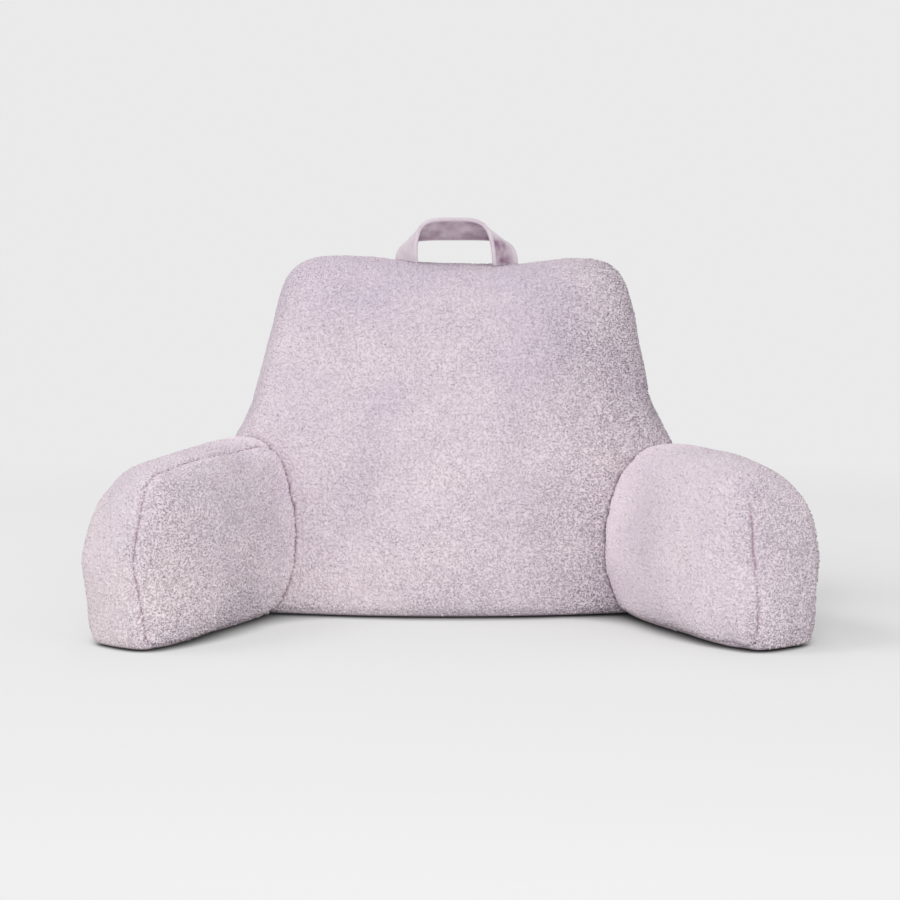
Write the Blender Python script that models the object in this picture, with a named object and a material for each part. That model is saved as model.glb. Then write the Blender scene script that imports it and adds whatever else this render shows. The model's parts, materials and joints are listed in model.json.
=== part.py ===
"""A reading pillow: a leaning back cushion, two splayed arm cushions and a carry strap.

Metres, +Z up. The pillow rests on Z = 0, is widest along X and faces -Y.
"""

import math

import bpy
import numpy as np

# Cloth colours
FLEECE = (0.66, 0.57, 0.63)
PLUSH = (0.55, 0.45, 0.53)

# Sewing and fitting
CUT_GAP = 0.0004  # clearance between the pieces that meet
LOOP_POINTS = 72  # points round each seam
PANEL_SHARES = (0.05, 0.13, 0.24, 0.38, 0.56, 0.77)  # rings, from a seam to a panel's middle
PANEL_EASE = 100  # how far the rings of a panel lose the corners of its seam
STRIP_SHARES = (0.04, 0.15, 0.33, 0.50, 0.67, 0.85, 0.96)  # rows, front seam to rear seam
BASE_SWELL = 0.020  # how far the strip under a cushion is pressed out onto the floor
DEPTH_SHIFT = 0.0185  # from the line where the back meets the floor to the middle of the pillow

# Back: front seam seen square on, anticlockwise from the middle of the bottom
BACK_SEAM = (
    # across, up, corner length
    (0.000, 0.007, 0.000),
    (0.250, 0.007, 0.020),
    (0.256, 0.110, 0.050),
    (0.243, 0.180, 0.030),
    (0.221, 0.215, 0.030),
    (0.209, 0.270, 0.050),
    (0.201, 0.330, 0.040),
    (0.187, 0.375, 0.032),
    (0.138, 0.379, 0.040),
    (0.070, 0.370, 0.060),
    (-0.060, 0.375, 0.080),
    (-0.120, 0.383, 0.040),
    (-0.174, 0.377, 0.034),
    (-0.189, 0.335, 0.030),
    (-0.205, 0.270, 0.050),
    (-0.218, 0.215, 0.030),
    (-0.240, 0.180, 0.030),
    (-0.250, 0.110, 0.050),
    (-0.244, 0.007, 0.020),
)
BACK_DEPTH = (
    # up, depth of the front seam, depth of the rear seam
    (0.000, -0.006, 0.174),
    (0.100, 0.000, 0.182),
    (0.200, 0.024, 0.188),
    (0.300, 0.062, 0.192),
    (0.400, 0.094, 0.192),
)
BACK_BOW = 0.042  # how far the bottom of the front seam swings forward at its middle
BOW_HEIGHT = 0.200  # where that swing ends
BACK_HALF_WIDTH = 0.250
BACK_MIDDLE = (0.003, 0.165)  # across, up
BACK_CROWN = 0.040
BACK_REAR_CROWN = 0.024
BACK_SWELL = 0.009

# Arms: seams seen square on, forward first, from the middle of the bottom
LEFT_INNER_SEAM = (
    # along, up, corner length
    (0.050, 0.007, 0.000),
    (0.271, 0.006, 0.010),
    (0.268, 0.050, 0.030),
    (0.271, 0.090, 0.030),
    (0.254, 0.150, 0.030),
    (0.240, 0.181, 0.026),
    (0.140, 0.188, 0.060),
    (0.008, 0.190, 0.030),
    (-0.060, 0.130, 0.040),
    (-0.110, 0.110, 0.020),
    (-0.110, 0.007, 0.020),
)
RIGHT_INNER_SEAM = (
    (0.050, 0.007, 0.000),
    (0.276, 0.006, 0.010),
    (0.268, 0.050, 0.030),
    (0.247, 0.090, 0.030),
    (0.240, 0.145, 0.030),
    (0.222, 0.176, 0.034),
    (0.120, 0.185, 0.060),
    (0.028, 0.183, 0.040),
    (-0.050, 0.120, 0.040),
    (-0.110, 0.100, 0.020),
    (-0.110, 0.007, 0.020),
)
LEFT_OUTER_SEAM = (
    (0.050, 0.007, 0.000),
    (0.256, 0.006, 0.010),
    (0.247, 0.080, 0.040),
    (0.230, 0.134, 0.040),
    (0.182, 0.161, 0.040),
    (0.080, 0.174, 0.060),
    (-0.110, 0.184, 0.020),
    (-0.110, 0.007, 0.020),
)
RIGHT_OUTER_SEAM = (
    (0.050, 0.007, 0.000),
    (0.262, 0.006, 0.010),
    (0.247, 0.080, 0.040),
    (0.232, 0.138, 0.040),
    (0.192, 0.164, 0.040),
    (0.090, 0.179, 0.060),
    (-0.110, 0.166, 0.020),
    (-0.110, 0.007, 0.020),
)
ARM_ROOT = (0.194, 0.000)  # where the inner seam starts, across and deep
ARM_SPLAY = math.radians(29)
ARM_STRIP = 0.083
ARM_BOW = {-1: 0.020, 1: 0.028}  # how far the foot of the inner seam is pressed inward
ARM_TOE = 0.019  # how far the front of the foot is pressed inward
TOE_START = 0.150  # along the arm
TOE_HEIGHT = 0.090
ARM_CROWN = 0.042
ARM_OUTER_CROWN = 0.026
ARM_SWELL = 0.012
ARM_MIDDLE = (0.095, 0.090)  # along, up

# Strap: its front edge stands taller and narrower than its rear edge
STRAP_MIDDLE = 0.007
STRAP_EDGES = (
    # half span, foot height, top height, depth, squareness, how far its top sits towards -X
    (0.0434, 0.360, 0.433, 0.120, 4.2, 0.004),
    (0.0705, 0.360, 0.4075, 0.156, 4.6, -0.001),
)
STRAP_THICK = 0.004
STRAP_STATIONS = 40
STRAP_ACROSS = 4


def clear_scene():
    for item in list(bpy.data.objects):
        bpy.data.objects.remove(item, do_unlink=True)


def fabric(name, colour, roughness):
    slot = bpy.data.materials.new(name)
    slot.use_nodes = True
    shader = slot.node_tree.nodes["Principled BSDF"]
    shader.inputs["Base Color"].default_value = (*colour, 1.0)
    shader.inputs["Roughness"].default_value = roughness
    return slot


def rounded(table, count):
    """Evenly spaced points on a closed outline; each row's corner is eased over its length."""
    rows = np.array(table)
    path = []
    for i, (across, up, ease) in enumerate(rows):
        here = np.array((across, up))
        before = rows[i - 1, :2] - here
        after = rows[(i + 1) % len(rows), :2] - here
        near = min(ease, 0.48 * np.linalg.norm(before), 0.48 * np.linalg.norm(after))
        first = here + before / np.linalg.norm(before) * near
        last = here + after / np.linalg.norm(after) * near
        for t in np.linspace(0, 1, 9 if near > 0 else 1):
            path.append((1 - t) ** 2 * first + 2 * t * (1 - t) * here + t * t * last)
    path = np.array(path + path[:1])
    run = np.r_[0, np.cumsum(np.linalg.norm(np.diff(path, axis=0), axis=1))]
    spots = np.arange(count) / count * run[-1]
    return np.column_stack([np.interp(spots, run, path[:, axis]) for axis in (0, 1)])


def crown(share, power=0.58):
    """Height of a filled panel as a share of its crown, from 0 at the seam to 1 at the middle."""
    return (1 - (1 - share) ** 2) ** power


def outward(loop, axis):
    """Unit vectors that point out of a loop, square to it and to its axis."""
    along = np.roll(loop, -1, axis=0) - np.roll(loop, 1, axis=0)
    out = np.cross(along, axis)
    out /= np.linalg.norm(out, axis=1)[:, None]
    turn = np.einsum("ij,ij->i", out, loop - loop.mean(axis=0)).sum()
    return out * np.sign(turn)


def panel(seam, middle, rise):
    """Rings from a seam to the middle of its panel, rounder and higher towards the middle."""
    rings = []
    for share in PANEL_SHARES:
        ring = seam + (middle - seam) * share
        for _ in range(round(PANEL_EASE * share * share)):
            ring = (np.roll(ring, 1, axis=0) + 2 * ring + np.roll(ring, -1, axis=0)) / 4
        rings.append(ring + rise * crown(share))
    return rings


def boxed_cushion(front, rear, front_middle, rear_middle, front_rise, rear_rise, swell):
    """Loops of a cushion made of two filled panels and the strip between their seams."""
    loops = panel(front, front_middle, front_rise)[::-1] + [front]
    out = outward((front + rear) / 2, (rear - front).mean(axis=0))
    down = np.clip(-out[:, 2:] * 3 - 2, 0, 1)
    out = out * (swell + (BASE_SWELL - swell) * down)
    for share in STRIP_SHARES:
        loops.append(front + (rear - front) * share + out * math.sqrt(math.sin(math.pi * share)))
    loops += [rear] + panel(rear, rear_middle, rear_rise)
    return front_middle + front_rise, loops, rear_middle + rear_rise


def skin(name, first, loops, last, slot):
    """One closed body through the loops, shut at both ends by a fan."""
    count = len(loops[0])
    points = np.vstack([[first], *loops, [last]])
    points[:, 1] += DEPTH_SHIFT
    points[:, 2] = np.maximum(points[:, 2], 0)
    faces = []
    final = len(points) - 1
    base = 1 + count * (len(loops) - 1)
    for i in range(count):
        j = (i + 1) % count
        faces.append((0, 1 + j, 1 + i))
        faces.append((final, base + i, base + j))
        for row in range(len(loops) - 1):
            a = 1 + row * count
            b = a + count
            faces.append((a + i, a + j, b + j, b + i))
    return body(name, points, faces, slot)


def body(name, points, faces, slot):
    mesh = bpy.data.meshes.new(name)
    mesh.from_pydata([tuple(p) for p in points], [], faces)
    mesh.polygons.foreach_set("use_smooth", [True] * len(faces))
    corners = points[[list(f[:3]) for f in faces]]
    middle = points.mean(axis=0)
    turn = np.cross(corners[:, 1] - corners[:, 0], corners[:, 2] - corners[:, 0])
    if np.einsum("ij,ij->i", turn, corners[:, 0] - middle).sum() < 0:
        mesh.flip_normals()
    mesh.update()
    item = bpy.data.objects.new(name, mesh)
    bpy.context.scene.collection.objects.link(item)
    mesh.materials.append(slot)
    return item


def back_points(outline):
    """The front and rear seams of the back, laid out in depth."""
    heights, front_depth, rear_depth = np.array(BACK_DEPTH).T
    across, up = outline.T
    low = np.clip(1 - up / BOW_HEIGHT, 0, 1)
    swing = BACK_BOW * low * np.clip(1 - (across / BACK_HALF_WIDTH) ** 2, 0, 1)
    front = np.column_stack([across, np.interp(up, heights, front_depth) - swing, up])
    rear = np.column_stack([across, np.interp(up, heights, rear_depth), up])
    return front, rear


def build_back(slot):
    outline = rounded(BACK_SEAM, LOOP_POINTS)
    front, rear = back_points(outline)
    middle_front, middle_rear = back_points(np.array([BACK_MIDDLE]))
    parts = boxed_cushion(
        front, rear, middle_front[0], middle_rear[0],
        np.array((0, -BACK_CROWN, 0)), np.array((0, BACK_REAR_CROWN, 0)), BACK_SWELL,
    )
    return skin("back", *parts, slot)


def build_arm(place, side, inner, outer):
    """side is -1 for the arm at -X and 1 for the arm at +X."""
    along = np.array((side * math.sin(ARM_SPLAY), -math.cos(ARM_SPLAY), 0))
    out = np.array((side * math.cos(ARM_SPLAY), math.sin(ARM_SPLAY), 0))
    root = np.array((side * ARM_ROOT[0], ARM_ROOT[1], 0))
    inner = rounded(inner, LOOP_POINTS)
    outer = rounded(outer, LOOP_POINTS)

    def lay(flat, deep):
        return root + flat[:, :1] * along + flat[:, 1:] * (0, 0, 1) + deep * out

    def toe(flat):
        forward = np.clip((flat[:, :1] - TOE_START) / 0.10, 0, 1)
        return ARM_TOE * forward * np.clip(1 - flat[:, 1:] / TOE_HEIGHT, 0, 1)

    run = np.clip(inner[:, :1] / 0.25, 0, 1)
    low = np.clip(1 - inner[:, 1:] / 0.12, 0, 1)
    bow = -ARM_BOW[side] * np.sqrt(np.sin(math.pi * run)) * low
    middle = np.array([ARM_MIDDLE])
    parts = boxed_cushion(
        lay(inner, bow - toe(inner)), lay(outer, ARM_STRIP - toe(outer)),
        lay(middle, 0)[0], lay(middle, ARM_STRIP)[0],
        -ARM_CROWN * out, ARM_OUTER_CROWN * out, ARM_SWELL,
    )
    return skin("arm_" + place, *parts, fabric(f"arm_{place}_fleece", FLEECE, 0.9))


def arch(edge, count):
    half, foot, top, deep, square, shift = edge
    turn = np.linspace(0, math.pi, count)
    across = -np.sign(np.cos(turn)) * np.abs(np.cos(turn)) ** (2 / square) * half
    up = foot + (top - foot) * np.abs(np.sin(turn)) ** (2 / square)
    lean = shift * (up - foot) / (top - foot)
    return np.column_stack([STRAP_MIDDLE + across - lean, np.full(count, deep), up])


def build_handle(slot):
    front, rear = (arch(edge, STRAP_STATIONS) for edge in STRAP_EDGES)
    sheet = np.array([front + (rear - front) * k / STRAP_ACROSS for k in range(STRAP_ACROSS + 1)])
    along = np.gradient(sheet, axis=1)
    across = np.gradient(sheet, axis=0)
    square = np.cross(along, across)
    square /= np.linalg.norm(square, axis=2)[..., None]
    over = sheet + square * STRAP_THICK / 2
    under = sheet - square * STRAP_THICK / 2
    loops = np.concatenate([over, under[::-1]])
    count = len(loops)
    points = loops.transpose(1, 0, 2).reshape(-1, 3)
    points[:, 1] += DEPTH_SHIFT
    faces = []
    for station in range(STRAP_STATIONS - 1):
        for i in range(count):
            a = station * count + i
            b = station * count + (i + 1) % count
            faces.append((a, b, b + count, a + count))
    faces.append(tuple(range(count)))
    faces.append(tuple(range(len(points) - 1, len(points) - 1 - count, -1)))
    return body("handle", points, faces, slot)


def enlarged(source, gap):
    """A copy grown by the gap, used to cut the pieces that meet this one."""
    grown = source.copy()
    grown.data = source.data.copy()
    grown.name = source.name + "_cutter"
    for vertex in grown.data.vertices:
        vertex.co += vertex.normal * gap
    grown.hide_render = True
    grown.display_type = "WIRE"
    bpy.context.scene.collection.objects.link(grown)
    return grown


def cut(item, cutter):
    trim = item.modifiers.new("trim", "BOOLEAN")
    trim.operation = "DIFFERENCE"
    trim.solver = "EXACT"
    trim.object = cutter


clear_scene()
back = build_back(fabric("back_fleece", FLEECE, 0.9))
left = build_arm("left", -1, LEFT_INNER_SEAM, LEFT_OUTER_SEAM)
right = build_arm("right", 1, RIGHT_INNER_SEAM, RIGHT_OUTER_SEAM)
handle = build_handle(fabric("strap_plush", PLUSH, 0.85))
cutter = enlarged(back, CUT_GAP)
for piece in (left, right, handle):
    cut(piece, cutter)
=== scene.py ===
import json
import math

import bpy
import numpy as np
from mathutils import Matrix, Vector, noise
from mathutils.bvhtree import BVHTree
from mathutils.kdtree import KDTree

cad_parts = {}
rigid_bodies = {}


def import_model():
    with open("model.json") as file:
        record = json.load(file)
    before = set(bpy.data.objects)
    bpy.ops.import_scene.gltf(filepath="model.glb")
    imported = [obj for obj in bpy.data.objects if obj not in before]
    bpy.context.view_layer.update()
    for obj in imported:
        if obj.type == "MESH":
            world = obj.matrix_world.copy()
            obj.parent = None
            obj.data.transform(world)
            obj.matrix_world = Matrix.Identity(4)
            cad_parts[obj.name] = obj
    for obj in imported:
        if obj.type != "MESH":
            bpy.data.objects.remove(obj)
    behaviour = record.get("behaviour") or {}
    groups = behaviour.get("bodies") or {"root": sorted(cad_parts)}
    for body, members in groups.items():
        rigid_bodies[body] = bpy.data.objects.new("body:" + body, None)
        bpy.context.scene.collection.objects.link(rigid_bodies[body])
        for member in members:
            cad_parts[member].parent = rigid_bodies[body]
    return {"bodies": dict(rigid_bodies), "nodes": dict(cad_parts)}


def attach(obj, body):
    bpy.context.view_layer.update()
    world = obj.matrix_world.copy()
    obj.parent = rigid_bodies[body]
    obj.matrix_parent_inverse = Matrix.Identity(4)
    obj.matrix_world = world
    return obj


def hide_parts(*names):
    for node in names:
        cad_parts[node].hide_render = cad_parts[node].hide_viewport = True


# A reading pillow in pale lilac sherpa fleece: a leaning back, two splayed arms and a velour carry
# strap. Metres, +Z up; the pillow rests on Z = 0 and faces -Y.

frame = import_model()
loaded = {*frame["nodes"].values(), *frame["bodies"].values()}
for item in set(bpy.data.objects) - loaded:
    bpy.data.objects.remove(item)
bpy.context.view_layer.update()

# ---------------------------------------------------------------- sizes of the cushions

DEPTH_SHIFT = 0.0185  # from the line where the back meets the floor to the middle of the pillow
PILE_INSET = 0.0016  # from the outer reach of the pile down to the cloth that carries it
LOOP_POINTS = 288  # points round each seam
PANEL_RINGS = 22  # rings from a seam to the middle of its panel
PANEL_EASE = 100  # how far the rings of a panel lose the corners of its seam
EASE_HARMONICS = 72  # the scale on which that ease is counted
STRIP_ROWS = 26  # rows from the front seam to the rear seam
BASE_SWELL = 0.020  # how far the strip under a cushion is pressed out onto the floor

BACK_SEAM = (
    # across, up, corner length
    (0.000, 0.007, 0.000),
    (0.250, 0.007, 0.020),
    (0.256, 0.110, 0.050),
    (0.243, 0.180, 0.030),
    (0.221, 0.215, 0.030),
    (0.209, 0.270, 0.050),
    (0.201, 0.330, 0.040),
    (0.187, 0.375, 0.032),
    (0.138, 0.379, 0.040),
    (0.070, 0.370, 0.060),
    (-0.060, 0.375, 0.080),
    (-0.120, 0.383, 0.040),
    (-0.174, 0.377, 0.034),
    (-0.189, 0.335, 0.030),
    (-0.205, 0.270, 0.050),
    (-0.218, 0.215, 0.030),
    (-0.240, 0.180, 0.030),
    (-0.250, 0.110, 0.050),
    (-0.244, 0.007, 0.020),
)
BACK_DEPTH = (
    # up, depth of the front seam, depth of the rear seam
    (0.000, -0.006, 0.174),
    (0.100, 0.000, 0.182),
    (0.200, 0.024, 0.188),
    (0.300, 0.062, 0.192),
    (0.400, 0.094, 0.192),
)
BACK_BOW = 0.042  # how far the bottom of the front seam swings forward at its middle
BOW_HEIGHT = 0.200  # where that swing ends
BACK_HALF_WIDTH = 0.250
BACK_MIDDLE = (0.003, 0.165)  # across, up
BACK_CROWN = 0.040
BACK_REAR_CROWN = 0.024
BACK_SWELL = 0.009

LEFT_INNER_SEAM = (
    # along, up, corner length
    (0.050, 0.007, 0.000),
    (0.271, 0.006, 0.010),
    (0.268, 0.050, 0.030),
    (0.271, 0.090, 0.030),
    (0.254, 0.150, 0.030),
    (0.240, 0.181, 0.026),
    (0.140, 0.188, 0.060),
    (0.008, 0.190, 0.030),
    (-0.060, 0.130, 0.040),
    (-0.110, 0.110, 0.020),
    (-0.110, 0.007, 0.020),
)
RIGHT_INNER_SEAM = (
    (0.050, 0.007, 0.000),
    (0.276, 0.006, 0.010),
    (0.268, 0.050, 0.030),
    (0.247, 0.090, 0.030),
    (0.240, 0.145, 0.030),
    (0.222, 0.176, 0.034),
    (0.120, 0.185, 0.060),
    (0.028, 0.183, 0.040),
    (-0.050, 0.120, 0.040),
    (-0.110, 0.100, 0.020),
    (-0.110, 0.007, 0.020),
)
LEFT_OUTER_SEAM = (
    (0.050, 0.007, 0.000),
    (0.256, 0.006, 0.010),
    (0.247, 0.080, 0.040),
    (0.230, 0.134, 0.040),
    (0.182, 0.161, 0.040),
    (0.080, 0.174, 0.060),
    (-0.110, 0.184, 0.020),
    (-0.110, 0.007, 0.020),
)
RIGHT_OUTER_SEAM = (
    (0.050, 0.007, 0.000),
    (0.262, 0.006, 0.010),
    (0.247, 0.080, 0.040),
    (0.232, 0.138, 0.040),
    (0.192, 0.164, 0.040),
    (0.090, 0.179, 0.060),
    (-0.110, 0.166, 0.020),
    (-0.110, 0.007, 0.020),
)
ARM_ROOT = (0.194, 0.000)  # where the inner seam starts, across and deep
ARM_SPLAY = math.radians(29)
ARM_STRIP = 0.083
ARM_BOW = {-1: 0.020, 1: 0.028}  # how far the foot of the inner seam is pressed inward
ARM_TOE = 0.019  # how far the front of the foot is pressed inward
TOE_START = 0.150  # along the arm
TOE_HEIGHT = 0.090
ARM_CROWN = 0.042
ARM_OUTER_CROWN = 0.026
ARM_SWELL = 0.012
ARM_MIDDLE = (0.095, 0.090)  # along, up

STRAP_MIDDLE = 0.007
STRAP_EDGES = (
    # half span, foot height, top height, depth, squareness, how far its top sits towards -X
    (0.0434, 0.360, 0.433, 0.120, 4.2, 0.004),
    (0.0705, 0.360, 0.4075, 0.156, 4.6, -0.001),
)

# ---------------------------------------------------------------- mesh helpers


def add_object(name, mesh):
    item = bpy.data.objects.new(name, mesh)
    bpy.context.scene.collection.objects.link(item)
    return item


def mesh_from(name, points, faces):
    mesh = bpy.data.meshes.new(name)
    mesh.from_pydata([tuple(p) for p in points], [], faces)
    mesh.update()
    return mesh


def points_of(mesh):
    flat = np.empty(len(mesh.vertices) * 3)
    mesh.vertices.foreach_get("co", flat)
    return flat.reshape(-1, 3)


def normals_of(mesh):
    flat = np.empty(len(mesh.vertices) * 3)
    mesh.vertices.foreach_get("normal", flat)
    return flat.reshape(-1, 3)


def set_points(mesh, points):
    mesh.vertices.foreach_set("co", np.asarray(points, float).ravel())
    mesh.update()


def store(mesh, name, values):
    layer = mesh.attributes.new(name, "FLOAT", "POINT")
    layer.data.foreach_set("value", np.asarray(values, float))


def settle(item):
    """Turns an object's modifiers into a plain mesh."""
    graph = bpy.context.evaluated_depsgraph_get()
    made = bpy.data.meshes.new_from_object(item.evaluated_get(graph))
    old = item.data
    item.modifiers.clear()
    item.data = made
    bpy.data.meshes.remove(old)
    return item


def smooth_noise(points, size, seed):
    """Noise from about -1 to 1 whose lumps measure size."""
    offset = Vector((seed * 3.7, seed * 1.9, seed * 5.3))
    return np.array([noise.noise(Vector(p) / size + offset) for p in points])


# ---------------------------------------------------------------- forms


def rounded(table, count):
    """Evenly spaced points on a closed outline; each row's corner is eased over its length."""
    rows = np.array(table)
    path = []
    for i, (across, up, ease) in enumerate(rows):
        here = np.array((across, up))
        before = rows[i - 1, :2] - here
        after = rows[(i + 1) % len(rows), :2] - here
        near = min(ease, 0.48 * np.linalg.norm(before), 0.48 * np.linalg.norm(after))
        first = here + before / np.linalg.norm(before) * near
        last = here + after / np.linalg.norm(after) * near
        for t in np.linspace(0, 1, 9 if near > 0 else 1):
            path.append((1 - t) ** 2 * first + 2 * t * (1 - t) * here + t * t * last)
    path = np.array(path + path[:1])
    run = np.r_[0, np.cumsum(np.linalg.norm(np.diff(path, axis=0), axis=1))]
    spots = np.arange(count) / count * run[-1]
    return np.column_stack([np.interp(spots, run, path[:, axis]) for axis in (0, 1)])


def crown(share, power=0.58):
    """Height of a filled panel as a share of its crown, from 0 at the seam to 1 at the middle."""
    return (1 - (1 - share) ** 2) ** power


def eased(ring, passes):
    """A ring that has lost its sharper waves."""
    waves = np.fft.rfft(ring, axis=0)
    harmonic = np.minimum(np.arange(len(waves)), EASE_HARMONICS / 2)
    keep = np.cos(math.pi * harmonic / EASE_HARMONICS) ** (2 * passes)
    return np.fft.irfft(waves * keep[:, None], len(ring), axis=0)


def outward(loop, axis):
    """Unit vectors that point out of a loop, square to it and to its axis."""
    along = np.roll(loop, -1, axis=0) - np.roll(loop, 1, axis=0)
    out = np.cross(along, axis)
    out /= np.linalg.norm(out, axis=1)[:, None]
    turn = np.einsum("ij,ij->i", out, loop - loop.mean(axis=0)).sum()
    return out * np.sign(turn)


def panel(seam, middle, rise):
    """Rings from a seam to the middle of its panel, rounder and higher towards the middle."""
    rings = []
    for step in range(1, PANEL_RINGS):
        share = (step / PANEL_RINGS) ** 1.4
        ring = eased(seam + (middle - seam) * share, PANEL_EASE * share * share)
        rings.append(ring + rise * crown(share))
    return rings


def boxed_cushion(front, rear, front_middle, rear_middle, front_rise, rear_rise, swell):
    """Loops of a cushion made of two filled panels and the strip between their seams."""
    loops = panel(front, front_middle, front_rise)[::-1] + [front]
    out = outward((front + rear) / 2, (rear - front).mean(axis=0))
    down = np.clip(-out[:, 2:] * 3 - 2, 0, 1)
    out = out * (swell + (BASE_SWELL - swell) * down)
    for step in range(1, STRIP_ROWS):
        share = (1 - math.cos(math.pi * step / STRIP_ROWS)) / 2
        loops.append(front + (rear - front) * share + out * math.sqrt(math.sin(math.pi * share)))
    loops += [rear] + panel(rear, rear_middle, rear_rise)
    return front_middle + front_rise, loops, rear_middle + rear_rise


def skin(name, first, loops, last):
    """One closed body through the loops, shut at both ends by a fan."""
    count = len(loops[0])
    points = np.vstack([[first], *loops, [last]])
    points[:, 1] += DEPTH_SHIFT
    faces = []
    final = len(points) - 1
    base = 1 + count * (len(loops) - 1)
    for i in range(count):
        j = (i + 1) % count
        faces.append((0, 1 + j, 1 + i))
        faces.append((final, base + i, base + j))
        for row in range(len(loops) - 1):
            a = 1 + row * count
            b = a + count
            faces.append((a + i, a + j, b + j, b + i))
    mesh = mesh_from(name, points, faces)
    face_outward(mesh)
    return add_object(name, mesh)


def face_outward(mesh):
    points = points_of(mesh)
    mesh.calc_loop_triangles()
    corners = np.empty(len(mesh.loop_triangles) * 3, int)
    mesh.loop_triangles.foreach_get("vertices", corners)
    if np.linalg.det(points[corners.reshape(-1, 3)]).sum() < 0:
        mesh.flip_normals()


def back_points(outline):
    """The front and rear seams of the back, laid out in depth."""
    heights, front_depth, rear_depth = np.array(BACK_DEPTH).T
    across, up = outline.T
    low = np.clip(1 - up / BOW_HEIGHT, 0, 1)
    swing = BACK_BOW * low * np.clip(1 - (across / BACK_HALF_WIDTH) ** 2, 0, 1)
    front = np.column_stack([across, np.interp(up, heights, front_depth) - swing, up])
    rear = np.column_stack([across, np.interp(up, heights, rear_depth), up])
    return front, rear


def back_form():
    front, rear = back_points(rounded(BACK_SEAM, LOOP_POINTS))
    middle_front, middle_rear = back_points(np.array([BACK_MIDDLE]))
    parts = boxed_cushion(
        front, rear, middle_front[0], middle_rear[0],
        np.array((0, -BACK_CROWN, 0)), np.array((0, BACK_REAR_CROWN, 0)), BACK_SWELL,
    )
    return skin("back_cushion", *parts), (front, rear)


def arm_form(place, side, inner, outer):
    """side is -1 for the arm at -X and 1 for the arm at +X."""
    along = np.array((side * math.sin(ARM_SPLAY), -math.cos(ARM_SPLAY), 0))
    out = np.array((side * math.cos(ARM_SPLAY), math.sin(ARM_SPLAY), 0))
    root = np.array((side * ARM_ROOT[0], ARM_ROOT[1], 0))
    inner = rounded(inner, LOOP_POINTS)
    outer = rounded(outer, LOOP_POINTS)

    def lay(flat, deep):
        return root + flat[:, :1] * along + flat[:, 1:] * (0, 0, 1) + deep * out

    def toe(flat):
        forward = np.clip((flat[:, :1] - TOE_START) / 0.10, 0, 1)
        return ARM_TOE * forward * np.clip(1 - flat[:, 1:] / TOE_HEIGHT, 0, 1)

    run = np.clip(inner[:, :1] / 0.25, 0, 1)
    low = np.clip(1 - inner[:, 1:] / 0.12, 0, 1)
    bow = -ARM_BOW[side] * np.sqrt(np.sin(math.pi * run)) * low
    middle = np.array([ARM_MIDDLE])
    seams = (lay(inner, bow - toe(inner)), lay(outer, ARM_STRIP - toe(outer)))
    parts = boxed_cushion(
        *seams, lay(middle, 0)[0], lay(middle, ARM_STRIP)[0],
        -ARM_CROWN * out, ARM_OUTER_CROWN * out, ARM_SWELL,
    )
    return skin(f"arm_{place}_cushion", *parts), seams


# ---------------------------------------------------------------- cloth of the cushions

SEAM_DEPTH = 0.0020
SEAM_WIDTH = 0.0040
SEAM_SNAP = 0.0015  # points of the cloth this near a seam are moved onto it
SEAM_REACH = 0.012
SEAM_FAINT = 0.12  # how much of a seam still shows where it is faint
SEAM_LOOK = {
    # the height from which it is faint, half the width of the line where the pile parts
    "back": (-0.03, 0.0018),
    "left": (1.0, 0.0016),
    "right": (0.135, 0.0026),
}
SEWN_EDGE = 0.006  # the cloth this near a seam is held by it
STUFFING_FRAMES = 16
STUFFING_REACH = 0.006  # how far the filling may push the cloth out


def remesh(item, voxel):
    grid = item.modifiers.new("grid", "REMESH")
    grid.mode = "VOXEL"
    grid.voxel_size = voxel
    return settle(item)


def subdivide(item):
    finer = item.modifiers.new("finer", "SUBSURF")
    finer.levels = 1
    finer.render_levels = 1
    return settle(item)


def inset(item, depth):
    mesh = item.data
    points = points_of(mesh)
    inward = -normals_of(mesh) * depth
    inward[:, 2] *= np.clip(points[:, 2] / 0.010, 0, 1)
    points += inward
    points[:, 2] = np.maximum(points[:, 2], 0.0005)
    set_points(mesh, points)


def seam_finder(seams):
    line = np.vstack(seams) + (0, DEPTH_SHIFT, 0)
    tree = KDTree(len(line))
    for i, point in enumerate(line):
        tree.insert(point, i)
    tree.balance()
    return tree


def seam_distance(points, tree):
    return np.array([tree.find(p)[2] for p in points])


def stuff(item, seams):
    """Fills the cushion: its cloth swells between the seams, which hold it back."""
    mesh = item.data
    start = points_of(mesh)
    held = item.vertex_groups.new(name="held")
    near = seam_distance(start, seams)
    low = start[:, 2] < 0.004
    for i in np.flatnonzero((near < SEWN_EDGE) | low):
        held.add([int(i)], 1.0 if low[i] else 1.0 - near[i] / SEWN_EDGE * 0.5, "REPLACE")
    cloth = item.modifiers.new("filling", "CLOTH")
    cloth.settings.use_pressure = True
    cloth.settings.uniform_pressure_force = 4
    cloth.settings.effector_weights.gravity = 0
    cloth.settings.quality = 4
    cloth.settings.mass = 0.3
    cloth.settings.vertex_group_mass = "held"
    cloth.collision_settings.use_collision = False
    cloth.point_cache.frame_start = 1
    cloth.point_cache.frame_end = STUFFING_FRAMES
    for number in range(1, STUFFING_FRAMES + 1):
        bpy.context.scene.frame_set(number)
    settle(item)
    bpy.context.scene.frame_set(1)
    move = points_of(item.data) - start
    length = np.linalg.norm(move, axis=1, keepdims=True)
    move *= np.minimum(1, STUFFING_REACH / np.maximum(length, 1e-9))
    points = start + move
    points[:, 2] = np.maximum(points[:, 2], 0.0005)
    set_points(item.data, points)
    item.vertex_groups.clear()


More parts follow.
